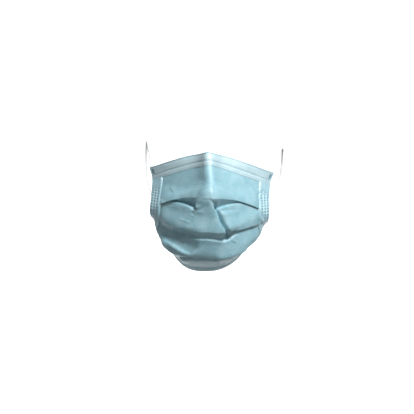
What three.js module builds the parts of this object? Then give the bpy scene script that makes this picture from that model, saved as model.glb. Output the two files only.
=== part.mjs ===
// A pleated disposable surgical face mask in the form that it has when worn.
// Millimetres, +Z up. The outer face looks along -Y, +X is to the right of a viewer in front of it.
// The origin is on the nose bridge, at the middle of the mask's top edge.
import * as THREE from 'three';

// ---- driving dimensions -------------------------------------------------------------------
const CLOTH = 1.0;          // wall of the three-layer cloth
const HEM_CLOTH = 2.0;      // wall of the folded and welded hems
const LAYER_GAP = 0.5;      // air between the layers of a pleat
const PIECE_GAP = 0.4;      // air between two neighbouring pieces
const SIDE_HEM_SHARE = 0.14;   // part of the half width that a side hem covers
const BOTTOM_HEM = 7.0;     // height of the bottom hem
const LOOP_DIAMETER = 3.0;  // round elastic of the ear loops
const LOOP_STEP = 7.0;      // length of one step of the loop's tube
const LOOP_SIDES = 8;
const COLUMNS = 32;         // steps across the mask
const STATION_STEPS = 16;   // steps between two sections, where a column's length is measured

// The form that the cloth takes over the face: one row for each section from cheek to cheek.
// hem: the section's end at the side hem. midY, midZ: its middle, without the nose.
// nose, noseWide, noseX: how far the nose lifts it, over what half width, and where the ridge is.
// bowY, bowZ: how the section leaves its middle; 1 is straight, and more is rounder.
const SECTIONS = [
  { at: 'top edge', hemX: 64.5, hemY: 54, hemZ: -18, midY: 14, midZ: 0,
    nose: 14, noseWide: 13, noseX: -3, bowY: 1.5, bowZ: 1.15 },
  { at: 'band', hemX: 61, hemY: 50, hemZ: -29.5, midY: 10, midZ: -12,
    nose: 15, noseWide: 14, noseX: -2.2, bowY: 1.5, bowZ: 1.2 },
  { at: 'nose tip', hemX: 60.5, hemY: 43, hemZ: -45, midY: 2, midZ: -36,
    nose: 23, noseWide: 17, noseX: 1.5, bowY: 1.5, bowZ: 1.5 },
  { at: 'upper pleat', hemX: 61, hemY: 38, hemZ: -61.5, midY: -3, midZ: -47,
    nose: 20, noseWide: 20, noseX: 1.5, bowY: 1.6, bowZ: 2.1 },
  { at: 'middle pleat', hemX: 60.5, hemY: 45, hemZ: -67.5, midY: -10, midZ: -80.5,
    nose: 7, noseWide: 26, noseX: 0, bowY: 1.75, bowZ: 1.6 },
  { at: 'chin pleat', hemX: 58.5, hemY: 56, hemZ: -67, midY: -2, midZ: -106,
    nose: 2, noseWide: 24, noseX: -3, bowY: 1.9, bowZ: 2.3 },
  { at: 'bottom edge', hemX: 55, hemY: 67, hemZ: -61, midY: 29, midZ: -121.5,
    nose: 0, noseWide: 24, noseX: -4, bowY: 2.0, bowZ: 2.25 },
];
const BAND_STATION = 1;     // the section where the nose band ends
const LAST_STATION = SECTIONS.length - 1;

// The pleats, from the top: the section that the fold's edge follows, and how deep the cloth
// is tucked under it at the middle of the mask and at the side hems.
const PLEATS = [
  { station: 3, middleDepth: 3.0, sideDepth: 7.5 },
  { station: 4, middleDepth: 3.0, sideDepth: 6.0 },
  { station: 5, middleDepth: 2.5, sideDepth: 5.5 },
];

// Creases and dents: a line from one place to another in the front view, how far it lifts the
// cloth (or sinks it), and how wide it is on its left and on its right.
const CREASES = [
  { at: 'below the nose', x1: 2, z1: -34, x2: 22, z2: -88, lift: 3.0, left: 7, right: 3 },
  { at: 'right pocket', x1: 24, z1: -70, x2: 42, z2: -66, lift: 3.5, left: 9, right: 9 },
  { at: 'left pocket', x1: -38, z1: -62, x2: -24, z2: -64, lift: 2.0, left: 8, right: 8 },
  { at: 'left dent', x1: -30, z1: -86, x2: -17, z2: -95, lift: -3.0, left: 6, right: 6 },
  { at: 'chin ridge', x1: -43, z1: -87, x2: -14, z2: -104, lift: 1.5, left: 4, right: 4 },
];

// The ear loops: the route of the right one, from the inner side of the top corner, over and
// behind the ear, to the inner side of the bottom corner. The left one mirrors it.
const LOOP_ROUTE = [
  [56.8, 50.8, -23.6], [60.2, 54, -22.6], [62.2, 57.5, -20.2], [64, 64, -14],
  [66, 73, -5.5], [68.5, 83, 2.5], [70.5, 91.5, 7.5], [71.8, 99, 9], [72.3, 106, 6],
  [72.5, 111, -1], [72.3, 113.5, -10], [71.5, 113.5, -20], [70, 109.5, -30],
  [67, 102, -38.5], [63.5, 92, -46], [60, 82, -52], [56.8, 74, -57],
  [53.6, 66.5, -61], [51.6, 59.5, -66],
];

// ---- the form of the cloth ----------------------------------------------------------------
const FORM_KEYS = Object.keys(SECTIONS[0]).filter((key) => key !== 'at');

// The slope of one column of the table at a row, flat at a turning point, so that the form
// doesn't overshoot its sections.
function slopeAt(key, row) {
  const before = SECTIONS[row][key] - SECTIONS[Math.max(row - 1, 0)][key];
  const after = SECTIONS[Math.min(row + 1, LAST_STATION)][key] - SECTIONS[row][key];
  if (row === 0) return after;
  if (row === LAST_STATION) return before;
  return before * after <= 0 ? 0 : (2 * before * after) / (before + after);
}

// The form's values at any station, where station 0 is the first section and 1 the second.
function formAt(station) {
  const row = Math.min(Math.floor(station), LAST_STATION - 1);
  const t = station - row;
  const form = {};
  for (const key of FORM_KEYS) {
    form[key] = (1 + 2 * t) * (1 - t) ** 2 * SECTIONS[row][key]
      + t * (1 - t) ** 2 * slopeAt(key, row)
      + t * t * (3 - 2 * t) * SECTIONS[row + 1][key]
      + t * t * (t - 1) * slopeAt(key, row + 1);
  }
  return form;
}

// A point of the cloth's inner layer: across runs from -1 at the left hem to 1 at the right.
function clothPoint(across, station) {
  const form = formAt(station);
  const x = form.hemX * across;
  const fromRidge = x - form.noseX;
  const halfWidth = form.hemX - Math.sign(fromRidge) * form.noseX;
  const share = Math.abs(fromRidge) / halfWidth;
  const ridge = form.nose * Math.exp(-((fromRidge / form.noseWide) ** 2));
  const y = form.midY + (form.hemY - form.midY) * share ** form.bowY - ridge;
  const z = form.midZ + (form.hemZ - form.midZ) * share ** form.bowZ;
  return new THREE.Vector3(x, y, z);
}

// The direction out of the cloth, away from the face.
function clothOutward(across, station) {
  const step = 0.01;
  const left = Math.max(across - step, -1);
  const right = Math.min(across + step, 1);
  const above = Math.max(station - step, 0);
  const below = Math.min(station + step, LAST_STATION);
  const sideways = clothPoint(right, station).sub(clothPoint(left, station));
  const down = clothPoint(across, below).sub(clothPoint(across, above));
  return down.cross(sideways).normalize();
}

// How far the creases lift the cloth at a point.
function creaseLift(point) {
  let lift = 0;
  for (const crease of CREASES) {
    const along = new THREE.Vector2(crease.x2 - crease.x1, crease.z2 - crease.z1);
    const from = new THREE.Vector2(point.x - crease.x1, point.z - crease.z1);
    const length = along.length();
    const travelled = from.dot(along) / length;
    const aside = along.cross(from) / length;
    const past = Math.max(-travelled, travelled - length, 0);
    const wide = aside > 0 ? crease.right : crease.left;
    lift += crease.lift * Math.exp(-((aside / wide) ** 2) - (past / crease.left) ** 2);
  }
  return lift;
}

// One column of the cloth, from the top edge to the bottom edge: a function that turns a height
// along the column and an offset out of it into a point, and the heights of the stations.
function makeColumn(across) {
  const stations = [];
  const heights = [];
  let height = 0;
  let last = clothPoint(across, 0);
  for (let step = 0; step <= LAST_STATION * STATION_STEPS; step += 1) {
    const station = step / STATION_STEPS;
    const point = clothPoint(across, station);
    height += point.distanceTo(last);
    last = point;
    stations.push(station);
    heights.push(height);
  }
  const heightOf = (station) => heights[Math.round(station * STATION_STEPS)];
  const stationAt = (wanted) => {
    let step = heights.findIndex((value) => value >= wanted);
    step = step < 0 ? heights.length - 1 : Math.max(step, 1);
    const share = (wanted - heights[step - 1]) / (heights[step] - heights[step - 1]);
    return THREE.MathUtils.clamp(stations[step - 1] + share / STATION_STEPS, 0, LAST_STATION);
  };
  const place = (wanted, offset) => {
    const station = stationAt(wanted);
    const point = clothPoint(across, station);
    const lifted = offset + creaseLift(point);
    return point.addScaledVector(clothOutward(across, station), lifted);
  };
  return { heightOf, place };
}

// ---- solids -------------------------------------------------------------------------------
// A closed solid between two grids of points: front[column][row] and back[column][row].
function solidBetween(front, back) {
  const columns = front.length;
  const rows = front[0].length;
  const positions = [];
  for (const grid of [front, back]) {
    grid.flat().forEach((point) => positions.push(point.x, point.y, point.z));
  }
  const index = (side, column, row) => (side * columns + column) * rows + row;
  const faces = [];
  const quad = (a, b, c, d) => faces.push(a, b, c, a, c, d);
  for (let c = 0; c < columns - 1; c += 1) {
    for (let r = 0; r < rows - 1; r += 1) {
      quad(index(0, c, r), index(0, c, r + 1), index(0, c + 1, r + 1), index(0, c + 1, r));
      quad(index(1, c, r), index(1, c + 1, r), index(1, c + 1, r + 1), index(1, c, r + 1));
    }
  }
  const endRow = rows - 1;
  const endColumn = columns - 1;
  for (let c = 0; c < endColumn; c += 1) {
    quad(index(0, c, 0), index(0, c + 1, 0), index(1, c + 1, 0), index(1, c, 0));
    quad(index(0, c, endRow), index(1, c, endRow), index(1, c + 1, endRow),
      index(0, c + 1, endRow));
  }
  for (let r = 0; r < endRow; r += 1) {
    quad(index(0, 0, r), index(1, 0, r), index(1, 0, r + 1), index(0, 0, r + 1));
    quad(index(0, endColumn, r), index(0, endColumn, r + 1), index(1, endColumn, r + 1),
      index(1, endColumn, r));
  }
  const geometry = new THREE.BufferGeometry();
  geometry.setAttribute('position', new THREE.Float32BufferAttribute(positions, 3));
  geometry.setIndex(faces);
  geometry.computeVertexNormals();
  return geometry;
}

// Values in equal steps from one number to another, both ends included.
function steps(from, to, count) {
  return Array.from({ length: count + 1 }, (unused, i) => from + ((to - from) * i) / count);
}

const LAYER_STEP = CLOTH + LAYER_GAP;   // from the middle of one layer to the next
const STACK = 2 * LAYER_STEP;           // from the innermost layer of a pleat to the outermost

// A half turn of the cloth at a fold: towards is 1 at the pleat's edge and -1 at its root.
function halfTurn(height, offset, towards) {
  const radius = LAYER_STEP / 2;
  const turn = steps(Math.PI / 2, -Math.PI / 2, 3);
  return turn.map((angle) => [
    height + towards * radius * Math.cos(angle),
    offset - radius + radius * Math.sin(angle),
  ]);
}

// The route of the cloth down one column, as [height, offset] pairs through every pleat.
function pleatedRoute(column, across) {
  const ease = (t) => t * t * (3 - 2 * t);
  const clearance = 1.2;
  const route = [];
  let start = column.heightOf(BAND_STATION) + PIECE_GAP;
  PLEATS.forEach((pleat, i) => {
    const edge = column.heightOf(pleat.station);
    const share = Math.abs(across) ** 2;
    const depth = pleat.middleDepth + (pleat.sideDepth - pleat.middleDepth) * share;
    const root = edge - depth;
    const panelSteps = i === 0 ? 9 : 6;
    steps(0, 1, panelSteps).forEach((t) => {
      route.push([start + (root - clearance - start) * t, STACK * ease(t)]);
    });
    route.push(...halfTurn(edge, STACK, 1));
    route.push(...halfTurn(root, LAYER_STEP, -1));
    start = edge + clearance;
  });
  const end = column.heightOf(LAST_STATION) - BOTTOM_HEM - PIECE_GAP;
  steps(0, 1, 4).forEach((t) => route.push([start + (end - start) * t, 0]));
  return route;
}

// Both faces of a cloth of the given wall along a route.
function clothFaces(column, route, wall) {
  const front = [];
  const back = [];
  route.forEach(([height, offset], i) => {
    const before = route[Math.max(i - 1, 0)];
    const after = route[Math.min(i + 1, route.length - 1)];
    const along = new THREE.Vector2(after[0] - before[0], after[1] - before[1]).normalize();
    const half = wall / 2;
    front.push(column.place(height - along.y * half, offset + along.x * half));
    back.push(column.place(height + along.y * half, offset - along.x * half));
  });
  return { front, back };
}

// A piece of cloth over a range of columns, with a route for each column.
function clothPiece(fromAcross, toAcross, columns, wall, routeOf) {
  const front = [];
  const back = [];
  for (const across of steps(fromAcross, toAcross, columns)) {
    const column = makeColumn(across);
    const faces = clothFaces(column, routeOf(column, across), wall);
    front.push(faces.front);
    back.push(faces.back);
  }
  return solidBetween(front, back);
}

// ---- pieces -------------------------------------------------------------------------------
const HEM_EDGE = 1 - SIDE_HEM_SHARE;
const HALF_WIDTH = SECTIONS[0].hemX;
const GAP_ACROSS = PIECE_GAP / HALF_WIDTH;

function maskBody() {
  const edge = HEM_EDGE - GAP_ACROSS;
  return clothPiece(-edge, edge, COLUMNS, CLOTH, pleatedRoute);
}

function noseBand() {
  const routeOf = (column) => steps(0, column.heightOf(BAND_STATION), 3).map((h) => [h, 0]);
  return clothPiece(-1, 1, COLUMNS, HEM_CLOTH, routeOf);
}

function bottomHem() {
  const edge = HEM_EDGE - GAP_ACROSS;
  const routeOf = (column) => {
    const bottom = column.heightOf(LAST_STATION);
    return steps(bottom - BOTTOM_HEM, bottom, 2).map((h) => [h, 0]);
  };
  return clothPiece(-edge, edge, COLUMNS, HEM_CLOTH, routeOf);
}

// A side hem holds the stacked ends of the pleats, so it sits at the middle of their stack.
function sideHem(side) {
  const routeOf = (column) => {
    const top = column.heightOf(BAND_STATION) + PIECE_GAP;
    const bottom = column.heightOf(LAST_STATION);
    return steps(top, bottom, 16).map((h) => [h, LAYER_STEP]);
  };
  const ends = side > 0 ? [HEM_EDGE, 1] : [-1, -HEM_EDGE];
  return clothPiece(ends[0], ends[1], 2, HEM_CLOTH, routeOf);
}

function earLoop(side) {
  const points = LOOP_ROUTE.map(([x, y, z]) => new THREE.Vector3(side * x, y, z));
  const route = new THREE.CatmullRomCurve3(points, false, 'centripetal');
  const section = new THREE.Shape();
  for (let i = 0; i < LOOP_SIDES; i += 1) {
    const angle = ((i + 0.5) * 2 * Math.PI) / LOOP_SIDES;
    const x = (LOOP_DIAMETER / 2) * Math.cos(angle);
    const y = (LOOP_DIAMETER / 2) * Math.sin(angle);
    if (i === 0) section.moveTo(x, y);
    else section.lineTo(x, y);
  }
  section.closePath();
  const count = Math.round(route.getLength() / LOOP_STEP);
  return new THREE.ExtrudeGeometry(section, { steps: count, extrudePath: route });
}

// ---- assembly -----------------------------------------------------------------------------
const cloth = (name, colour) => new THREE.MeshStandardMaterial({
  name, color: colour, roughness: 0.85, metalness: 0,
});
const blueCloth = cloth('blue nonwoven', 0x9cc3cf);
const hemCloth = cloth('welded blue nonwoven', 0x8fb8c6);
const elastic = cloth('white elastic', 0xf1f2f0);

const mask = new THREE.Group();
function add(name, geometry, material) {
  const mesh = new THREE.Mesh(geometry, material);
  mesh.name = name;
  mask.add(mesh);
}

add('mask_body', maskBody(), blueCloth);
add('nose_band', noseBand(), hemCloth);
add('bottom_hem', bottomHem(), hemCloth);
add('side_hem_left', sideHem(-1), hemCloth);
add('side_hem_right', sideHem(1), hemCloth);
add('ear_loop_left', earLoop(-1), elastic);
add('ear_loop_right', earLoop(1), elastic);

export default mask;
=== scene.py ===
"""The looks of a pleated surgical face mask in its worn form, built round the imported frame.

Blender's units are metres. The tables are in millimetres, as the cloth is measured, and are
turned into metres by MM. x runs to the viewer's right, y away from the viewer and z up."""

import math

import bpy
import numpy as np
from mathutils import Matrix, Vector


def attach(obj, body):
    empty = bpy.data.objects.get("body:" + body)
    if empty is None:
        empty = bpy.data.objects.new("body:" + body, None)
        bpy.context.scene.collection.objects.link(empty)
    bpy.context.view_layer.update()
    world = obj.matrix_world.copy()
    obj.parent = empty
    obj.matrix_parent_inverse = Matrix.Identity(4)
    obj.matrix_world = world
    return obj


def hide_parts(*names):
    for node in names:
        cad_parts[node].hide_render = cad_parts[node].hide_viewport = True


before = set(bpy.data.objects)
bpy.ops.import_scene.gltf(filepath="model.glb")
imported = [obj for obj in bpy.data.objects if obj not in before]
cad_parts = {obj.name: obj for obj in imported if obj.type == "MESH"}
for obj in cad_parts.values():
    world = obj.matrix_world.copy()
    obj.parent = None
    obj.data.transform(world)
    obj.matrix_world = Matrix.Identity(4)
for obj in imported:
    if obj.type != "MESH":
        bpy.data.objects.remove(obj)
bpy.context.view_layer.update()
MM = 0.001

# ---- the form of the cloth -----------------------------------------------------------------
# The same sections as the frame's solids, but for bow_z of the top edge and the band.
SECTION_COLUMNS = (
    "hem_x", "hem_y", "hem_z", "mid_y", "mid_z", "nose", "nose_wide", "nose_x", "bow_y", "bow_z",
)
SECTIONS = {
    "top edge": (64.5, 54, -18, 14, 0, 14, 13, -3, 1.5, 1.06),
    "band": (61, 50, -29.5, 10, -12, 15, 14, -2.2, 1.5, 1.12),
    "nose tip": (60.5, 43, -45, 2, -36, 23, 17, 1.5, 1.5, 1.5),
    "upper pleat": (61, 38, -61.5, -3, -47, 20, 20, 1.5, 1.6, 2.1),
    "middle pleat": (60.5, 45, -67.5, -10, -80.5, 7, 26, 0, 1.75, 1.6),
    "chin pleat": (58.5, 56, -67, -2, -106, 2, 24, -3, 1.9, 2.3),
    "bottom edge": (55, 67, -61, 29, -121.5, 0, 24, -4, 2.0, 2.25),
}
PLEAT_STATIONS = (3, 4, 5)
LAST_STATION = len(SECTIONS) - 1

CLOTH = 0.5         # wall of the cloth
TURN = 0.4          # radius of a fold
TURN_STEPS = 6
RIDGE_FLAT = 2.5    # how flat the ridge of the nose is on top; 2 is an even curve
RIDGE_ROUND = 0.13  # how softly the cloth turns over the nose, as a part of the half width
HEM_START = 0.82    # the part of the half width past which a hem presses the pleats flat
HEM_FADE = 0.08     # over how much of the half width they are freed again
PRESSED = 1.3       # how far a pleat's edge stands out where a hem presses it
COLUMNS = 210

HEM_SHARE = 0.18            # part of the half width that a side hem covers
SEAM_SHARE = 0.001          # gap between the cloth and a side hem, as a part of the half width
SEAM_GAP = 0.05             # gap between pieces that meet down the mask
BAND_HEIGHT = 14.8          # how far down the nose band comes
BOTTOM_HEM_HEIGHT = 9.0     # how far up the bottom hem comes

FIRST_SINK = -0.15          # offset of the cloth where it leaves the band
FIRST_SETTLE = 7.0          # how far below the band it has come out again
SETTLE_AFTER = 0.5          # how far below a root the cloth starts to come out
EDGE_WAVE = 0.25            # height of the waver of the lower pleats' edges
EDGE_WAVE_TURN = 0.31       # its turn for each millimetre across, in radians
FREE_BELOW = 1.0            # how far below the last edge a panel may start to lift
ABOVE_EDGE = 1.2            # how far above its edge or root a panel has lifted in full
RISE_RANGE = (2, 16)        # least and most height over which it lifts

RIPPLE_HEIGHT = 0.22        # soft unevenness of all the cloth
RIPPLE_SIZE = 22
RIPPLE_SEED = 3
RIPPLE_WAVES = 14

# The pleats. At each place across the mask: how far the edge stands out (lift), where the root
# of the fold lies below its edge (root, negative where it is tucked up behind the edge), and how
# far out the root is (sink) and how far below it the next panel has come out again (settle).
PLEATS = (
    {  # the upper pleat, bridged smooth from the nose to the mouth and open on both sides of it
        "x": (-54, -44, -37, -30, -24, -18, -13.4, -10.6, -7, 1, 4.5, 8.5, 12.5, 20, 27, 33, 54),
        "root": (-7, -5, -2, 1.4, 3.6, 5.8, 8.2, 2.2, 1.2, 1.2, 3, 10.5, 8.0, 4.2, 0.5, -3, -7),
        "sink": (0, 0, -1, -2.6, -4, -5, -5, 0.2, 1.0, 1.0, -0.6, -4, -3.6, -2.6, -1.4, 0, 0),
        "lift": (2, 2, 2.2, 2.4, 2.5, 2.4, 2.2, 1.5, 1.4, 1.4, 1.7, 2.4, 2.4, 2.2, 2, 2, 2),
        "settle": (7, 6, 3, 2.6, 3, 3.6, 4.4, 4, 6, 7, 5, 1.8, 1.8, 1.8, 3, 6, 7),
    },
    {  # the middle pleat, open in the middle and on the left, a flap on the right
        "x": (-54, -49, -43, -36, -30, -20, -8, 4, 14, 18, 22, 27, 31, 40, 54),
        "root": (2, 5, 8, 8.5, 8, 6.6, 6, 6.6, 7.6, 8, 7, 2, -1, -4, -5),
        "sink": (-1, -2.4, -3.6, -3.8, -3.4, -2.4, -1.6, -1.6, -2.0, -3.6, -3.6, -1.6, 0, 0, 0),
        "lift": (2, 2.4, 2.8, 2.8, 2.6, 2.2, 2.0, 2.0, 2.2, 2.6, 2.8, 2.8, 2.6, 2.2, 2),
        "settle": (7, 7, 7, 6, 4, 3, 2.5, 2.5, 3, 4, 4, 6, 7, 7, 7),
    },
    {  # the chin pleat
        "x": (-50, -43, -36, -28, -20, -12, 0, 15, 30, 40, 50),
        "root": (1, 2, 4, 5, 4, 3, 2.4, 2.4, 2.4, 2, -2),
        "sink": (-0.5, -1.5, -2.4, -2.4, -2.2, -2, -2, -2, -1.6, -0.8, 0),
        "lift": (2, 2.4, 2.6, 2.6, 2.4, 2.2, 2.2, 2.2, 2.4, 2.2, 2),
        "settle": (6, 6, 6, 5, 4, 4, 4, 4, 5, 6, 6),
    },
)

# Creases and dents along lines in the front view: how far each lifts the cloth, or sinks it
# where negative, how wide it is on the viewer's right and left of a line drawn downwards, which
# is above and below one drawn to the right, and the line's points in x and z.
CREASES = {
    "nose ridge": (1.4, 5.0, 5.0, ((-3.0, 9), (-2.6, -4), (-0.5, -20), (2.0, -34), (2.5, -42))),
    "left of the nose": (-2.4, 10, 9, ((-14, 9), (-13, -8), (-12.5, -18), (-11, -28), (-8, -38))),
    "right of the nose": (-1.8, 6, 8, ((8, 9), (9, -8), (11, -18), (13, -28), (14, -38))),
    "nose to chin": (2.0, 2.6, 8, ((1.5, -28), (2.0, -34), (2.7, -42), (3.6, -48), (5.8, -55.6),
                                   (9.3, -63), (14.3, -74), (18.5, -83), (22, -90))),
    "valley beside it": (-4.4, 1.6, 1.3, ((5.5, -49), (8.0, -55), (10.4, -61), (13.4, -68.7),
                                          (16.4, -75), (19.2, -81), (21.6, -85), (24.4, -89))),
    "flap's edge": (2.4, 12, 0.8, ((13.4, -58.5), (14.2, -66), (17.2, -75), (19.4, -80.5))),
    "right pocket": (0.7, 4, 1.6, ((28.6, -81.5), (26.5, -85), (24.2, -89))),
    "left pocket": (1.2, 7, 0.8, ((-13.2, -48.5), (-12.2, -52), (-10.8, -55.7), (-9.2, -58.5))),
    "left highlight": (0.4, 1.2, 1.6, ((-11.2, -60.2), (-6.8, -60.6), (-3, -59.8))),
    "left notch": (-0.6, 1.2, 1.2, ((-13.8, -60.6), (-14.2, -64.2))),
    "lower notch": (-1.6, 1.0, 1.8, ((-32.1, -79.6), (-31.4, -82), (-30.4, -85.3))),
    "chin dimple": (-1.8, 5.5, 6.0, ((-29, -91), (-22, -92.5), (-15.5, -96), (-11, -102))),
    "chin ridge": (2.2, 1.2, 4.5, ((-43, -88.5), (-37, -91), (-32, -93.5), (-26.8, -97),
                                   (-21.5, -100.5), (-15, -104))),
    "left cheek": (2.4, 12, 12, ((-24, -50), (-25, -58), (-25, -68), (-24, -82))),
    "jaw ridge": (1.5, 2.0, 2.4, ((-40, -90), (-36, -95.5), (-30, -102), (-24, -108), (-18, -113))),
    "jaw line": (-1.8, 1.2, 2.0, ((-40, -94.5), (-37.1, -97.4), (-30.3, -105), (-24, -111.5))),
    "right chin ridge": (1.6, 4.0, 1.4, ((9, -107), (19, -104.5), (28, -101), (38, -96))),
    "cheek fold": (-0.7, 4, 4, ((-37.6, -40.9), (-43.7, -46.3), (-47.3, -52.9))),
    "faint fold": (0.45, 0.8, 0.8, ((-25.5, -69.1), (-19.1, -70.8), (-15.2, -71.9))),
    "right hem fold": (0.9, 0.8, 3.0, ((48, -58.5), (50.8, -63.2), (54.5, -68))),
    "hem fan 1": (-0.4, 1.0, 1.0, ((54, -37), (49.5, -41.5), (47, -45.5))),
    "hem fan 2": (-0.35, 0.9, 0.9, ((55.5, -40), (52, -43.5), (50.5, -48))),
    "hem fan 3": (-0.3, 0.9, 0.9, ((52, -33.5), (46, -36.5), (42.5, -41))),
}

# How far the cloth stands out past its sections where it swells over the jaw, on each side.
FULL_LEFT = 4.0
FULL_RIGHT = 3.4


def monotone(xs, ys, x):
    """A smooth curve through a table that doesn't overshoot it."""
    xs = np.asarray(xs, float)
    ys = np.asarray(ys, float)
    step = np.diff(xs)
    rise = np.diff(ys) / step
    slope = np.zeros_like(ys)
    same = rise[:-1] * rise[1:] > 0
    slope[1:-1][same] = 2 * rise[:-1][same] * rise[1:][same] / (rise[:-1] + rise[1:])[same]
    x = np.clip(x, xs[0], xs[-1])
    i = np.clip(np.searchsorted(xs, x, side="right") - 1, 0, len(xs) - 2)
    t = (x - xs[i]) / step[i]
    return (
        (1 + 2 * t) * (1 - t) ** 2 * ys[i] + t * (1 - t) ** 2 * step[i] * slope[i]
        + t * t * (3 - 2 * t) * ys[i + 1] + t * t * (t - 1) * step[i] * slope[i + 1]
    )


def section_slopes():
    """The slope of each column of the sections at each row, flat at a turning point."""
    rows = np.array(list(SECTIONS.values()), float)
    rise = np.diff(rows, axis=0)
    slope = np.zeros_like(rows)
    product = rise[:-1] * rise[1:]
    total = np.where(product > 0, rise[:-1] + rise[1:], 1)
    slope[1:-1] = np.where(product > 0, 2 * product / total, 0)
    slope[0] = rise[0]
    slope[-1] = rise[-1]
    return rows, slope


ROWS, SLOPES = section_slopes()


def cloth_point(across, station):
    """A point of the cloth's inner layer: across runs from -1 at the left hem to 1."""
    across, station = np.broadcast_arrays(across, station)
    row = np.clip(np.floor(station).astype(int), 0, LAST_STATION - 1)
    t = (station - row)[..., None]
    form = (
        (1 + 2 * t) * (1 - t) ** 2 * ROWS[row] + t * (1 - t) ** 2 * SLOPES[row]
        + t * t * (3 - 2 * t) * ROWS[row + 1] + t * t * (t - 1) * SLOPES[row + 1]
    )
    f = dict(zip(SECTION_COLUMNS, np.moveaxis(form, -1, 0)))
    x = f["hem_x"] * across
    from_ridge = x - f["nose_x"]
    share = np.abs(from_ridge) / (f["hem_x"] - np.sign(from_ridge) * f["nose_x"])
    share = (np.hypot(share, RIDGE_ROUND) - RIDGE_ROUND) / (math.hypot(1, RIDGE_ROUND) - RIDGE_ROUND)
    ridge = f["nose"] * np.exp(-(np.abs(from_ridge / f["nose_wide"]) ** RIDGE_FLAT))
    y = f["mid_y"] + (f["hem_y"] - f["mid_y"]) * share ** f["bow_y"] - ridge
    z = f["mid_z"] + (f["hem_z"] - f["mid_z"]) * share ** f["bow_z"]
    return np.stack([x, y, z], -1)


def outward(across, station):
    """The direction out of the cloth, away from the face."""
    step = 0.01
    sideways = cloth_point(np.minimum(across + step, 1), station) - cloth_point(
        np.maximum(across - step, -1), station
    )
    down = cloth_point(across, np.minimum(station + step, LAST_STATION)) - cloth_point(
        across, np.maximum(station - step, 0)
    )
    normal = np.cross(down, sideways)
    return normal / np.linalg.norm(normal, axis=-1, keepdims=True)


def smooth(t):
    t = np.clip(t, 0, 1)
    return t * t * (3 - 2 * t)


def resample(points, count):
    """Points in even steps along a smooth curve through the given ones."""
    points = np.asarray(points, float)
    lengths = np.concatenate([[0], np.cumsum(np.linalg.norm(np.diff(points, axis=0), axis=1))])
    at = np.linspace(0, lengths[-1], count)
    return np.stack([monotone(lengths, points[:, k], at) for k in range(points.shape[1])], -1)


def crease_lift(point):
    """How far the creases move the cloth at points of the front view."""
    flat = point[..., (0, 2)].reshape(-1, 2)
    total = np.zeros(len(flat))
    for lift, right, left, line in CREASES.values():
        line = resample(line, 24)
        reach = 3 * max(left, right)
        low = line.min(0) - reach
        high = line.max(0) + reach
        near = np.flatnonzero(((flat > low) & (flat < high)).all(1))
        if not len(near):
            continue
        here = flat[near]
        along = np.gradient(line, axis=0)
        spacing = np.linalg.norm(along, axis=1).mean()
        along /= np.linalg.norm(along, axis=1, keepdims=True)
        gap = here[:, None] - line[None]
        nearest = (gap ** 2).sum(-1).argmin(1)
        gap = gap[np.arange(len(here)), nearest]
        direction = along[nearest]
        travelled = (gap * direction).sum(1)
        # positive on the viewer's right of a line drawn downwards
        aside = direction[:, 0] * gap[:, 1] - direction[:, 1] * gap[:, 0]
        wide = np.where(aside > 0, right, left)
        share = (nearest + np.clip(travelled / spacing, -0.5, 0.5)) / (len(line) - 1)
        taper = smooth(np.minimum(share, 1 - share) * 4.5)
        total[near] += lift * taper * np.exp(-((aside / wide) ** 2))
    return total.reshape(point.shape[:-1])


def fullness(across, station, x):
    """How far the cloth swells over the jaw, fading out at the hems and in the middle."""
    down = smooth((station - 4.0) / 0.8) * (1 - 0.75 * smooth((station - 4.9) / 1.1))
    sideways = smooth((np.abs(x) - 14) / 20) * smooth((0.97 - np.abs(across)) / 0.2)
    return np.where(x < 0, FULL_LEFT, FULL_RIGHT) * down * sideways


def ripple(point):
    """Soft random unevenness, mostly between -1 and 1."""
    draw = np.random.default_rng(RIPPLE_SEED)
    total = np.zeros(point.shape[:-1])
    for _ in range(RIPPLE_WAVES):
        direction = draw.normal(size=3)
        direction /= np.linalg.norm(direction)
        wave = 2 * math.pi / (RIPPLE_SIZE * draw.uniform(0.7, 1.6))
        total += np.sin(point @ direction * wave + draw.uniform(0, 2 * math.pi))
    return total / RIPPLE_WAVES ** 0.5


class Cloth:
    """The cloth's columns over a range across the mask, with their lengths and a way to place
    a point by its height down the column and its offset out of it."""

    STEPS = 24

    def __init__(self, across):
        self.across = np.asarray(across, float)
        self.stations = np.linspace(0, LAST_STATION, LAST_STATION * self.STEPS + 1)
        points = cloth_point(self.across[:, None], self.stations[None])
        steps = np.linalg.norm(np.diff(points, axis=1), axis=-1)
        self.heights = np.concatenate([np.zeros((len(steps), 1)), np.cumsum(steps, 1)], 1)
        self.x = points[:, self.STEPS * 3, 0]

    def height_of(self, station):
        return self.heights[:, round(station * self.STEPS)]

    def place(self, height, offset):
        """Points for arrays of heights and offsets, a row for each column."""
        station = np.stack([
            np.interp(height[c], self.heights[c], self.stations) for c in range(len(height))
        ])
        across = np.broadcast_to(self.across[:, None], station.shape)
        point = cloth_point(across, station)
        swell = fullness(across, station, point[..., 0])
        lifted = offset + swell + (crease_lift(point) + RIPPLE_HEIGHT * ripple(point))
        return point + outward(across, station) * lifted[..., None]


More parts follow.
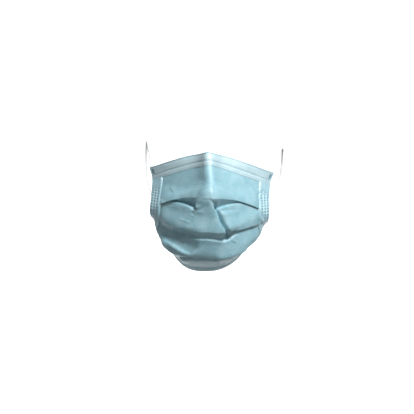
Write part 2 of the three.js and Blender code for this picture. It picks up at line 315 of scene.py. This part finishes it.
# ---- routes of the cloth ------------------------------------------------------------------
def pleat_turns(edge, pleat, x, across):
    """The folds of one pleat at each column: [height, offset] from its edge to its root, with
    how far the edge stands out, where the root lies and how far out that is."""
    free = smooth((HEM_START - np.abs(across)) / HEM_FADE)
    lift = PRESSED + (monotone(pleat["x"], pleat["lift"], x) - PRESSED) * free
    root = monotone(pleat["x"], pleat["root"], x)
    sink = monotone(pleat["x"], pleat["sink"], x) * free
    first = np.stack([edge - TURN, lift - TURN], -1)
    second = np.stack([edge + root, sink + TURN], -1)
    between = second - first
    apart = np.hypot(*between.T)
    bearing = np.arctan2(between[:, 1], between[:, 0])
    leave = bearing + np.arccos(np.minimum(2 * TURN / apart, 0.98))
    turn = np.linspace(0, 1, TURN_STEPS)
    out = math.pi / 2 + (leave[:, None] - math.pi / 2) * turn
    back = (leave[:, None] + math.pi) + (1.5 * math.pi - leave[:, None] - math.pi) * turn
    around = [
        centre[:, None] + TURN * np.stack([np.cos(angle), np.sin(angle)], -1)
        for centre, angle in ((first, out), (second, back))
    ]
    run = np.linspace(0, 1, 9)[1:-1, None]
    middle = around[0][:, -1:] * (1 - run) + around[1][:, :1] * run
    return np.concatenate([around[0], middle, around[1]], 1), lift, root, sink


def settling(height, start, sink, settle):
    """How far out a panel is as it comes out of the root of the pleat above it."""
    below = height - start[:, None] - SETTLE_AFTER
    return sink[:, None] * (1 - smooth(below / settle[:, None]))


def pleated_route(cloth):
    """The whole route of the cloth down each column: arrays of heights and offsets."""
    x = cloth.x
    parts = []
    start = np.full(len(x), BAND_HEIGHT + SEAM_GAP)
    above = np.zeros(len(x))        # height of the last pleat's edge
    sink = np.full(len(x), FIRST_SINK)
    settle = np.full(len(x), FIRST_SETTLE)
    for station, pleat, count in zip(PLEAT_STATIONS, PLEATS, (56, 36, 30)):
        wave = EDGE_WAVE * np.sin(x * EDGE_WAVE_TURN + station) * (station > 3)
        edge = cloth.height_of(station) + wave
        folds, lift, root, next_sink = pleat_turns(edge, pleat, x, cloth.across)
        t = np.linspace(0, 1, count)
        height = start[:, None] + (edge - TURN - start)[:, None] * t[:-1]
        free = np.maximum(above, start) + FREE_BELOW
        top = edge + np.minimum(root, 0) - ABOVE_EDGE
        rise = np.clip(top - free, *RISE_RANGE)
        settled = settling(height, start, sink, settle)
        lifted = lift[:, None] * smooth((height - (top - rise)[:, None]) / rise[:, None])
        parts.append(np.stack([height, settled + lifted], -1))
        parts.append(folds)
        start = edge + root
        above = edge
        sink = next_sink
        settle = monotone(pleat["x"], pleat["settle"], x)
    end = cloth.height_of(LAST_STATION) - BOTTOM_HEM_HEIGHT - SEAM_GAP
    t = np.linspace(0, 1, 26)[1:]
    height = start[:, None] + (end - start)[:, None] * t
    parts.append(np.stack([height, settling(height, start, sink, settle)], -1))
    return np.concatenate(parts, 1)


def faces_of(cloth, route):
    """The front and back points of the cloth along a route."""
    along = np.gradient(route, axis=1)
    along /= np.maximum(np.linalg.norm(along, axis=-1, keepdims=True), 1e-9)
    side = np.stack([-along[..., 1], along[..., 0]], -1) * (CLOTH / 2)
    sides = [route + side, route - side]
    return [cloth.place(s[..., 0], s[..., 1]) for s in sides]


# ---- meshes -------------------------------------------------------------------------------
def sheet_object(name, front, back, materials, uv=None, weld=None):
    """A closed sheet between two grids of points [column, row], in millimetres."""
    columns, rows = front.shape[:2]
    grid = np.arange(columns * rows).reshape(columns, rows)
    other = grid + columns * rows

    def quads(a, b, c, d):
        return np.stack([a.ravel(), b.ravel(), c.ravel(), d.ravel()], -1)

    faces = [
        quads(grid[:-1, :-1], grid[:-1, 1:], grid[1:, 1:], grid[1:, :-1]),
        quads(other[:-1, :-1], other[1:, :-1], other[1:, 1:], other[:-1, 1:]),
        quads(grid[:-1, 0], grid[1:, 0], other[1:, 0], other[:-1, 0]),
        quads(grid[:-1, -1], other[:-1, -1], other[1:, -1], grid[1:, -1]),
        quads(grid[0, :-1], other[0, :-1], other[0, 1:], grid[0, 1:]),
        quads(grid[-1, :-1], grid[-1, 1:], other[-1, 1:], other[-1, :-1]),
    ]
    inside = np.concatenate([np.full(len(f), int(i == 1)) for i, f in enumerate(faces)])
    faces = np.concatenate(faces)
    points = np.concatenate([front.reshape(-1, 3), back.reshape(-1, 3)]) * MM
    mesh = bpy.data.meshes.new(name)
    mesh.vertices.add(len(points))
    mesh.vertices.foreach_set("co", points.astype(np.float32).ravel())
    mesh.loops.add(faces.size)
    mesh.loops.foreach_set("vertex_index", faces.astype(np.int32).ravel())
    mesh.polygons.add(len(faces))
    mesh.polygons.foreach_set("loop_start", np.arange(0, faces.size, 4, dtype=np.int32))
    for material in materials:
        mesh.materials.append(material)
    mesh.update(calc_edges=True)
    mesh.polygons.foreach_set("material_index", (inside * (len(materials) > 1)).astype(np.int32))
    mesh.polygons.foreach_set("use_smooth", np.ones(len(faces), bool))
    if uv is not None:
        layer = mesh.uv_layers.new(name="cloth")
        flat = np.concatenate([uv.reshape(-1, 2)] * 2)[faces.ravel()]
        layer.data.foreach_set("uv", flat.astype(np.float32).ravel())
    if weld is not None:
        attribute = mesh.attributes.new("weld", "FLOAT", "POINT")
        attribute.data.foreach_set("value", np.concatenate([weld.ravel()] * 2).astype(np.float32))
    mesh.set_sharp_from_angle(angle=math.radians(55))
    obj = bpy.data.objects.new(name, mesh)
    bpy.context.scene.collection.objects.link(obj)
    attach(obj, "root")
    return obj


def flat_coordinates(cloth, route):
    """Where each point of the cloth lies when it is unfolded flat, in centimetres."""
    middle = len(cloth.across) // 2
    points = cloth_point(cloth.across, np.full(len(cloth.across), 3.0))
    steps = np.linalg.norm(np.diff(points, axis=0), axis=1)
    across = np.concatenate([[0], np.cumsum(steps)])
    across -= across[middle]
    run = np.linalg.norm(np.diff(route, axis=1), axis=-1)
    down = np.concatenate([np.zeros((len(run), 1)), np.cumsum(run, 1)], 1)
    return np.stack([np.broadcast_to(across[:, None], down.shape), -down], -1) / 10


# ---- materials ----------------------------------------------------------------------------
class Nodes:
    """A material's node tree, with short ways to add and link nodes."""

    def __init__(self, name, roughness):
        self.material = bpy.data.materials.new(name)
        self.material.use_nodes = True
        self.tree = self.material.node_tree
        self.shader = self.tree.nodes["Principled BSDF"]
        self.shader.inputs["Roughness"].default_value = roughness

    def add(self, kind, **values):
        node = self.tree.nodes.new(kind)
        for key, value in values.items():
            setattr(node, key, value)
        return node

    def link(self, source, target):
        self.tree.links.new(source, target)

    def noise(self, vector, scale, detail=2.0, roughness=0.5):
        node = self.add("ShaderNodeTexNoise")
        node.inputs["Scale"].default_value = scale
        node.inputs["Detail"].default_value = detail
        node.inputs["Roughness"].default_value = roughness
        self.link(vector, node.inputs["Vector"])
        return node.outputs["Fac"]

    def math(self, operation, first, second):
        node = self.add("ShaderNodeMath", operation=operation)
        for socket, value in zip(node.inputs, (first, second)):
            if isinstance(value, (int, float)):
                socket.default_value = value
            else:
                self.link(value, socket)
        return node.outputs["Value"]

    def ramp(self, factor, stops):
        node = self.add("ShaderNodeValToRGB")
        elements = node.color_ramp.elements
        while len(elements) < len(stops):
            elements.new(0.5)
        for element, (position, colour) in zip(elements, stops):
            element.position = position
            element.color = (*colour, 1)
        self.link(factor, node.inputs["Fac"])
        return node.outputs["Color"]

    def mix(self, factor, first, second, blend="MIX"):
        node = self.add("ShaderNodeMix", data_type="RGBA", blend_type=blend)
        sockets = (node.inputs[0], node.inputs[6], node.inputs[7])
        for socket, value in zip(sockets, (factor, first, second)):
            if hasattr(value, "is_output"):
                self.link(value, socket)
            elif isinstance(value, tuple):
                socket.default_value = (*value, 1)
            else:
                socket.default_value = value
        return node.outputs[2]

    def bump(self, height, strength, distance, normal=None):
        node = self.add("ShaderNodeBump")
        node.inputs["Strength"].default_value = strength
        node.inputs["Distance"].default_value = distance
        self.link(height, node.inputs["Height"])
        if normal:
            self.link(normal, node.inputs["Normal"])
        return node.outputs["Normal"]


# The cloth's texture. Its coordinates are centimetres of flat cloth.
FIBRE_SCALE = 16.0
SPECKLE_SCALE = 15.0
BLOTCH_SCALE = 0.9
BOND_PITCH = 0.16
FIBRE_PART = 0.45       # how much of each goes into the cloth's tone
SPECKLE_PART = 0.55
BLOTCH_PART = 0.3
PIT_SHADE = 0.72        # how dark the bond pits are beside the cloth's dark tone
PIT_STRENGTH = 0.10


def bond_pattern(nodes, coordinates, pitch):
    """The pits of a spun-bonded cloth: small diamonds in a staggered lattice, 0 to 1."""
    split = nodes.add("ShaderNodeSeparateXYZ")
    nodes.link(coordinates, split.inputs["Vector"])
    turn = 2 * math.pi / pitch
    diagonal = nodes.math("ADD", split.outputs["X"], split.outputs["Y"])
    other = nodes.math("SUBTRACT", split.outputs["X"], split.outputs["Y"])
    waves = [nodes.math("COSINE", nodes.math("MULTIPLY", v, turn), 0.0) for v in (diagonal, other)]
    return nodes.math("MAXIMUM", nodes.math("MULTIPLY", *waves), 0.0)


def nonwoven(name, dark, light, weld_colour=None):
    """Spun-bonded cloth: fine fibres, a bond pattern, soft blotches and, on hems, weld dots."""
    nodes = Nodes(name, 0.55)
    coordinates = nodes.add("ShaderNodeUVMap", uv_map="cloth").outputs["UV"]
    stretch = nodes.add("ShaderNodeMapping")
    stretch.inputs["Scale"].default_value = (1.0, 0.35, 1.0)
    nodes.link(coordinates, stretch.inputs["Vector"])
    fibres = nodes.noise(stretch.outputs["Vector"], FIBRE_SCALE, 3.0, 0.6)
    speckle = nodes.noise(coordinates, SPECKLE_SCALE, 2.0, 0.7)
    blotch = nodes.noise(coordinates, BLOTCH_SCALE, 3.0, 0.6)
    bonds = bond_pattern(nodes, coordinates, BOND_PITCH)
    tone = nodes.math("MULTIPLY", fibres, FIBRE_PART)
    tone = nodes.math("ADD", tone, nodes.math("MULTIPLY", speckle, SPECKLE_PART))
    tone = nodes.math("ADD", tone, nodes.math("MULTIPLY", blotch, BLOTCH_PART))
    colour = nodes.ramp(tone, ((0.55, dark), (0.75, light)))
    pit_colour = tuple(c * PIT_SHADE for c in dark)
    colour = nodes.mix(nodes.math("MULTIPLY", bonds, PIT_STRENGTH), colour, pit_colour)
    if weld_colour:
        weld = nodes.add("ShaderNodeAttribute", attribute_name="weld").outputs["Fac"]
        colour = nodes.mix(nodes.math("MULTIPLY", weld, -1.0), colour, PALE_COLOUR)
        colour = nodes.mix(weld, colour, weld_colour)
    nodes.link(colour, nodes.shader.inputs["Base Color"])
    rough = nodes.bump(bonds, 0.35, 0.00018)
    fine = nodes.bump(fibres, 0.30, 0.00022, rough)
    nodes.link(nodes.bump(blotch, 0.25, 0.0008, fine), nodes.shader.inputs["Normal"])
    nodes.shader.inputs["Sheen Weight"].default_value = 0.05
    nodes.shader.inputs["Sheen Tint"].default_value = (0.45, 0.75, 0.85, 1)
    nodes.shader.inputs["Sheen Roughness"].default_value = 0.6
    nodes.shader.inputs["IOR"].default_value = 1.65
    nodes.shader.inputs["Specular IOR Level"].default_value = 0.9
    return nodes.material


def elastic():
    """White knitted elastic with fine fibres. Its ribs are in the mesh."""
    nodes = Nodes("white knitted elastic", 0.85)
    coordinates = nodes.add("ShaderNodeUVMap", uv_map="cloth").outputs["UV"]
    fibres = nodes.noise(coordinates, 30.0, 3.0, 0.6)
    colour = nodes.ramp(fibres, ((0.3, (0.62, 0.64, 0.65)), (0.7, (0.82, 0.84, 0.84))))
    nodes.link(colour, nodes.shader.inputs["Base Color"])
    nodes.link(nodes.bump(fibres, 0.4, 0.0002), nodes.shader.inputs["Normal"])
    nodes.shader.inputs["Sheen Weight"].default_value = 0.2
    return nodes.material


OUTER_DARK = (0.132, 0.325, 0.395)
OUTER_LIGHT = (0.290, 0.465, 0.520)
HEM_DARK = (0.180, 0.370, 0.435)
HEM_LIGHT = (0.350, 0.540, 0.605)
BAND_DARK = (0.320, 0.480, 0.530)
BAND_LIGHT = (0.470, 0.610, 0.655)
PALE_COLOUR = (0.64, 0.82, 0.88)
WELD_COLOUR = (0.015, 0.115, 0.175)
OUTER = nonwoven("blue nonwoven", OUTER_DARK, OUTER_LIGHT)
WELDED = nonwoven("welded blue nonwoven", HEM_DARK, HEM_LIGHT, WELD_COLOUR)
BAND = nonwoven("welded pale nonwoven", BAND_DARK, BAND_LIGHT, WELD_COLOUR)
SEAMED = nonwoven("seamed blue nonwoven", OUTER_DARK, OUTER_LIGHT, WELD_COLOUR)
INNER = nonwoven("white nonwoven", (0.70, 0.73, 0.74), (0.86, 0.88, 0.88))
ELASTIC = elastic()

# ---- camera: the photograph's angle, a long lens two metres away ---------------------------
CAMERA_AWAY = 2.0
CAMERA_AZIMUTH = math.radians(2.0)
CAMERA_ELEVATION = math.radians(1.0)
CAMERA_ROLL = math.radians(2.5)
FRAME_WIDTH = 0.4223        # what the frame takes in at the mask, side to side
SENSOR = 36.0
AIM = Vector((-0.0022, 0.020, -0.0560))


def make_camera():
    data = bpy.data.cameras.new("camera")
    data.sensor_width = SENSOR
    data.lens = SENSOR * CAMERA_AWAY / FRAME_WIDTH
    camera = bpy.data.objects.new("camera", data)
    back = Vector((
        math.sin(CAMERA_AZIMUTH) * math.cos(CAMERA_ELEVATION),
        -math.cos(CAMERA_AZIMUTH) * math.cos(CAMERA_ELEVATION),
        math.sin(CAMERA_ELEVATION),
    ))
    turn = back.to_track_quat("Z", "Y").to_matrix().to_4x4()
    roll = Matrix.Rotation(CAMERA_ROLL, 4, "Z")
    camera.matrix_world = Matrix.Translation(AIM + back * CAMERA_AWAY) @ turn @ roll
    bpy.context.scene.collection.objects.link(camera)
    bpy.context.scene.camera = camera


make_camera()

# ---- ear loops ----------------------------------------------------------------------------
# The route of the right loop, from the inner side of the top corner, over and behind the ear,
# to the inner side of the bottom corner. The left one mirrors it.
LOOP_ROUTE = (
    (56.8, 50.8, -23.6), (60.2, 54, -22.6), (62.2, 57.5, -20.2), (64, 64, -14),
    (66, 73, -5.5), (68.5, 83, 2.5), (70.5, 91.5, 7.5), (71.8, 99, 9), (72.3, 106, 6),
    (72.5, 111, -1), (72.3, 113.5, -10), (71.5, 113.5, -20), (70, 109.5, -30),
    (67, 102, -38.5), (63.5, 92, -46), (60, 82, -52), (56.8, 74, -57),
    (53.6, 66.5, -61), (51.6, 59.5, -66),
)
LOOP_DIAMETER = 3.0
LOOP_RINGS = 360
LOOP_SIDES = 28
LOOP_RIBS = 14
RIB_TURN = 2.2          # turn of the ribs for each millimetre along, in radians
RIB_DEPTH = 0.035       # as a part of the radius
END_THINNING = 0.45
END_LENGTH = 0.8


def loop_path(side):
    """The loop's route in even steps, smooth through its points."""
    points = np.array(LOOP_ROUTE) * (side, 1, 1)
    return resample(points, LOOP_RINGS)


def ring_frames(path):
    """Two directions across the path at each of its points, without twist."""
    along = np.gradient(path, axis=0)
    along /= np.linalg.norm(along, axis=1, keepdims=True)
    first = np.cross(along[0], (0, 0, 1.0))
    first /= np.linalg.norm(first)
    firsts = []
    for direction in along:
        first = first - direction * (first @ direction)
        first /= np.linalg.norm(first)
        firsts.append(first)
    firsts = np.array(firsts)
    return firsts, np.cross(along, firsts)


def ear_loop(name, side):
    """A knitted round elastic that thins at its ends, where it is welded to the hem."""
    path = loop_path(side)
    first, second = ring_frames(path)
    length = np.linalg.norm(np.diff(path, axis=0), axis=1).sum()
    s = np.linspace(0, length, LOOP_RINGS)[:, None]
    angle = np.linspace(0, 2 * math.pi, LOOP_SIDES, endpoint=False)[None]
    around = angle * LOOP_RIBS / 2
    rib = np.cos(around + s * RIB_TURN) * np.cos(around - s * RIB_TURN)
    radius = LOOP_DIAMETER / 2 * (1 - RIB_DEPTH + RIB_DEPTH * rib)
    radius = radius * (1 - END_THINNING * np.exp(-np.minimum(s, length - s) / END_LENGTH))
    points = (
        path[:, None]
        + first[:, None] * (np.cos(angle) * radius)[..., None]
        + second[:, None] * (np.sin(angle) * radius)[..., None]
    )
    return tube_object(name, points, s / 10, path)


def tube_object(name, rings, lengths, path):
    """A closed tube through rings of points, in millimetres."""
    count, sides = rings.shape[:2]
    ring = np.arange(count * sides).reshape(count, sides)
    nxt = np.roll(ring, -1, axis=1)
    quads = np.stack([ring[:-1], nxt[:-1], nxt[1:], ring[1:]], -1).reshape(-1, 4)
    caps = [count * sides, count * sides + 1]
    starts = [(caps[0], int(b), int(a)) for a, b in zip(ring[0], nxt[0])]
    ends = [(caps[1], int(a), int(b)) for a, b in zip(ring[-1], nxt[-1])]
    points = np.concatenate([rings.reshape(-1, 3), path[:1], path[-1:]]) * MM
    mesh = bpy.data.meshes.new(name)
    mesh.from_pydata(points.tolist(), [], quads.tolist() + starts + ends)
    layer = mesh.uv_layers.new(name="cloth")
    round_it = np.tile(np.linspace(0, 0.9, sides), count)
    down_it = np.repeat(lengths.ravel(), sides)
    flat = np.concatenate([np.stack([round_it, down_it], -1), [[0, 0], [0, 1]]])
    index = np.empty(len(mesh.loops), np.int32)
    mesh.loops.foreach_get("vertex_index", index)
    layer.data.foreach_set("uv", flat[index].astype(np.float32).ravel())
    mesh.materials.append(ELASTIC)
    mesh.polygons.foreach_set("use_smooth", np.ones(len(mesh.polygons), bool))
    mesh.update()
    obj = bpy.data.objects.new(name, mesh)
    bpy.context.scene.collection.objects.link(obj)
    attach(obj, "root")
    return obj, length_of(path)


def length_of(path):
    return float(np.linalg.norm(np.diff(path, axis=0), axis=1).sum()) * MM


for loop_side, loop_node in ((-1, "ear_loop_left"), (1, "ear_loop_right")):
    loop, loop_length = ear_loop("elastic_" + loop_node, loop_side)
    loop_points = loop_path(loop_side)
    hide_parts(loop_node)


# ---- the pleated cloth --------------------------------------------------------------------
def mask_cloth():
    """The folded cloth between the hems."""
    edge = 1 - HEM_SHARE - SEAM_SHARE
    across = np.linspace(-edge, edge, COLUMNS)
    cloth = Cloth(across)
    route = pleated_route(cloth)
    front, back = faces_of(cloth, route)
    flat = flat_coordinates(cloth, route)
    obj = sheet_object("pleated_cloth", front, back, (OUTER, INNER), flat)
    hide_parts("mask_body")
    return obj


# ---- hems with their weld dots ------------------------------------------------------------
DOT_PITCH = 3.0
DOT_SIZE = (0.80, 0.70)         # half width of a dot along its row and across it
SIDE_DOT_SIZE = (0.85, 0.75)
DOT_DEPTH = 0.38
SIDE_DOT_DEPTH = 0.42
DOT_SHARP = 4                   # how square a dot is; 2 is a soft round one
PALE = 0.4                      # how pale the cloth is between two weld dots of a row
PALE_REACH = 1.7                # how tall that is, in heights of a dot
ROW_REACH = 1.4                 # how far from its middle a row counts
LAYER = 0.22                    # how far a hem's front stands out from its offset
BACK = -0.55                    # offset of the back of the band and the bottom hem
EDGE_DROP = 0.35                # how far the outer edge of these turns in
STEP_UP = 0.42                  # how far they stand out over the cloth

BAND_ROWS = (1.4, 9.6, 12.9)    # down from the top edge
BAND_LAST_ROW = 11.5            # rows below this are fainter
BAND_OFFSET = 0.18
CHANNEL = (2.9, 8.9)            # top and bottom of the flat channel
CHANNEL_HEIGHT = 0.32
PAD = (3.6, 5.6)                # where the loop's weld pad lies, in from the corner and down

BOTTOM_ROWS = (1.8, 6.8)        # up from the bottom edge
BOTTOM_FAINT = 0.6
BOTTOM_OFFSET = 0.20

# Across a side hem, a twelfth of its width is the unit, counted in from its outer edge.
SIDE_PARTS = 12.0
SIDE_ROWS = (2.6, 5.8, 9.0)     # the rows of weld dots
SIDE_STRIPS = (1.0, 4.2, 7.4)   # the pale strips of cloth between them
SIDE_STRIP_PALE = 0.6
SIDE_BACK = 0.3                 # offset of a side hem's back


def dots(along, aside, rows, size):
    """How deep the weld dots are pressed, up to 1, and negative for pale cloth between them.
    rows are where they run, in the same measure as aside."""
    wide, tall = size
    total = np.zeros(np.broadcast_shapes(along.shape, aside.shape))
    for number, row in enumerate(rows):
        step = (along + DOT_PITCH * 0.5 * (number % 2)) / DOT_PITCH
        near = (step - np.round(step)) * DOT_PITCH
        dot = np.exp(-((near / wide) ** DOT_SHARP) - ((aside - row) / tall) ** DOT_SHARP)
        between = PALE * np.exp(-(((aside - row) / (tall * PALE_REACH)) ** DOT_SHARP)) * (1 - dot)
        total = np.where(np.abs(aside - row) < ROW_REACH, dot - between, total)
    return total


def strip_coordinates(cloth, heights):
    """Flat coordinates of a strip that runs across the whole mask."""
    rows = heights[None] + 0 * cloth.across[:, None]
    return flat_coordinates(cloth, np.stack(np.broadcast_arrays(rows, 0.0), -1))


def edge_profile(run, meets, over):
    """How a hem turns in at its outer edge, and stands out until it comes down to the cloth."""
    turned = smooth(run / 0.7) * EDGE_DROP - EDGE_DROP
    return turned + STEP_UP * (1 - smooth((run - meets) / over))


def nose_band():
    """The band along the top edge: a flat channel between weld dots, and the loops' weld pads."""
    across = np.linspace(-1, 1, 520)
    cloth = Cloth(across)
    down = np.linspace(0, BAND_HEIGHT, 46)
    flat = strip_coordinates(cloth, down)
    along = flat[..., 0] * 10
    weld = dots(along, down[None], BAND_ROWS, DOT_SIZE)
    weld *= np.where(down > BAND_LAST_ROW, 0.45, 1.0)
    first = along[:, :1]
    corner = np.minimum(np.abs(first - along[0, 0]), np.abs(first - along[-1, 0]))
    pad = smooth((2.2 - np.abs(corner - PAD[0])) / 0.8)
    pad = pad * smooth((3.0 - np.abs(down[None] - PAD[1])) / 0.8)
    weld = np.maximum(weld, 0.7 * pad)
    channel = smooth((down - CHANNEL[0]) / 1.2) * smooth((CHANNEL[1] - down) / 1.2)
    channel = channel * smooth((0.80 - np.abs(across)) * 12)[:, None]
    edge = edge_profile(down, 12.9, 1.8)
    offset = BAND_OFFSET + edge[None] + CHANNEL_HEIGHT * channel - DOT_DEPTH * np.maximum(weld, 0)
    height = np.broadcast_to(down, offset.shape)
    front = cloth.place(height, offset + LAYER)
    back = cloth.place(height, np.full(offset.shape, BACK))
    obj = sheet_object("nose_band_fold", front, back, (BAND, INNER), flat, weld)
    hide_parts("nose_band")
    return obj


def bottom_hem():
    """The hem along the lower edge, between the side hems, with faint weld dots."""
    edge = 1 - HEM_SHARE - SEAM_SHARE
    across = np.linspace(-edge, edge, 460)
    cloth = Cloth(across)
    bottom = cloth.height_of(LAST_STATION)[:, None]
    up = np.linspace(0, BOTTOM_HEM_HEIGHT, 30)
    flat = strip_coordinates(cloth, up)
    weld = dots(flat[..., 0] * 10, up[None], BOTTOM_ROWS, DOT_SIZE)
    weld = BOTTOM_FAINT * np.maximum(weld, 0)
    offset = BOTTOM_OFFSET + edge_profile(up, 7.6, 1.4)[None] - DOT_DEPTH * np.maximum(weld, 0)
    height = bottom - up[None]
    front = cloth.place(height, offset + LAYER)
    back = cloth.place(height, np.full(offset.shape, BACK))
    grids = [grid[::-1] for grid in (front, back, flat, weld)]
    obj = sheet_object("bottom_hem_fold", grids[0], grids[1], (SEAMED, INNER), grids[2], grids[3])
    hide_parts("bottom_hem")
    return obj


def side_hem(side, node):
    """A side binding over the ends of the pleats, with three rows of weld dots."""
    inner = 1 - HEM_SHARE
    across = np.linspace(inner, 1, 40) if side > 0 else np.linspace(-1, -inner, 40)
    cloth = Cloth(across)
    top = np.full(len(across), BAND_HEIGHT + SEAM_GAP)
    bottom = cloth.height_of(LAST_STATION)
    down = np.linspace(0, 1, 230)
    height = top[:, None] + (bottom - top)[:, None] * down
    width = np.abs(np.abs(across) - 1) / HEM_SHARE * SIDE_PARTS
    run = height - height[:, :1]
    weld = dots(run, width[:, None], SIDE_ROWS, SIDE_DOT_SIZE)
    strips = sum(np.exp(-(((width - row) / 0.5) ** 4)) for row in SIDE_STRIPS)[:, None]
    weld = np.where(weld > 0.05, weld, np.minimum(weld, -SIDE_STRIP_PALE * strips))
    # fainter near the top, and again past the turn under the jaw
    weld = weld * (0.15 + 0.85 * smooth((run - 8) / 8)) * (1 - 0.6 * smooth((run - 32) / 3))
    stack = 1.25 + 0.7 * smooth((run - 12) / 12)
    outer_edge = 0.8 * (1 - smooth(width / 1.2))[:, None]
    inner_edge = 0.7 * (1 - smooth((SIDE_PARTS - width) / 0.8))[:, None]
    offset = stack - (outer_edge + inner_edge) - SIDE_DOT_DEPTH * np.maximum(weld, 0)
    front = cloth.place(height, offset)
    back = cloth.place(height, np.full(offset.shape, SIDE_BACK))
    flat = np.stack([np.broadcast_to(width[:, None], height.shape), -run], -1) / 10
    obj = sheet_object(node + "_fold", front, back, (WELDED, INNER), flat, weld)
    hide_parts(node)
    return obj


cloth_sheet = mask_cloth()
hems = [nose_band(), bottom_hem(), side_hem(-1, "side_hem_left"), side_hem(1, "side_hem_right")]


# ---- stage --------------------------------------------------------------------------------
def area_light(name, place, target, size, power, spread):
    data = bpy.data.lights.new(name, "AREA")
    data.spread = math.radians(spread)
    data.shape = "RECTANGLE"
    data.size, data.size_y = size
    data.energy = power
    light = bpy.data.objects.new(name, data)
    place = Vector(place)
    turn = (place - Vector(target)).to_track_quat("Z", "Y").to_matrix().to_4x4()
    light.matrix_world = Matrix.Translation(place) @ turn
    bpy.context.scene.collection.objects.link(light)


FLOOR_Z = -1.1
FLOOR_FRONT = -4.0
WALL_Y = 2.4
WALL_TOP = 3.5
SWEEP_RADIUS = 1.0
SWEEP_STEPS = 12
SWEEP_HALF = 4.0
FLOOR_TONE = 0.86
WORLD_STRENGTH = 0.26
MASK_MIDDLE = (0, 0.02, -0.06)
# Each light's place, what it is aimed at, its size, power in watts and spread in degrees.
LIGHTS = {
    "key": ((0.55, -1.08, 1.32), MASK_MIDDLE, (0.32, 0.32), 1.18, 24),
    "side": ((1.6, -0.7, 0.5), MASK_MIDDLE, (0.6, 0.6), 0.3, 60),
    "fill": ((-1.0, -1.7, 0.4), MASK_MIDDLE, (0.8, 0.8), 0.20, 60),
    "backdrop": ((0, 1.2, -0.95), (0, 2.4, 0.15), (3.0, 0.5), 110, 180),
}


def sweep_profile():
    """The floor and wall from the side, as points in y and z."""
    profile = [(FLOOR_FRONT, FLOOR_Z), (WALL_Y - SWEEP_RADIUS, FLOOR_Z)]
    for step in range(1, SWEEP_STEPS + 1):
        angle = math.pi / 2 * step / SWEEP_STEPS
        y = WALL_Y - SWEEP_RADIUS + SWEEP_RADIUS * math.sin(angle)
        profile.append((y, FLOOR_Z + SWEEP_RADIUS * (1 - math.cos(angle))))
    profile.append((WALL_Y, WALL_TOP))
    return profile


def studio():
    """A pale floor that sweeps up behind the mask, and soft light mostly from the upper right."""
    profile = sweep_profile()
    points = [(x, y, z) for x in (-SWEEP_HALF, SWEEP_HALF) for y, z in profile]
    count = len(profile)
    faces = [(i, i + count, i + count + 1, i + 1) for i in range(count - 1)]
    mesh = bpy.data.meshes.new("studio_sweep")
    mesh.from_pydata(points, [], faces)
    mesh.polygons.foreach_set("use_smooth", [True] * len(faces))
    nodes = Nodes("pale floor", 0.9)
    nodes.shader.inputs["Base Color"].default_value = (FLOOR_TONE, FLOOR_TONE, FLOOR_TONE, 1)
    mesh.materials.append(nodes.material)
    sweep = bpy.data.objects.new("studio_sweep", mesh)
    bpy.context.scene.collection.objects.link(sweep)
    world = bpy.data.worlds.new("world")
    world.use_nodes = True
    world.node_tree.nodes["Background"].inputs["Color"].default_value = (1, 1, 1, 1)
    world.node_tree.nodes["Background"].inputs["Strength"].default_value = WORLD_STRENGTH
    bpy.context.scene.world = world
    for name, values in LIGHTS.items():
        area_light(name, *values)
    bpy.context.scene.view_settings.view_transform = "Standard"


studio()
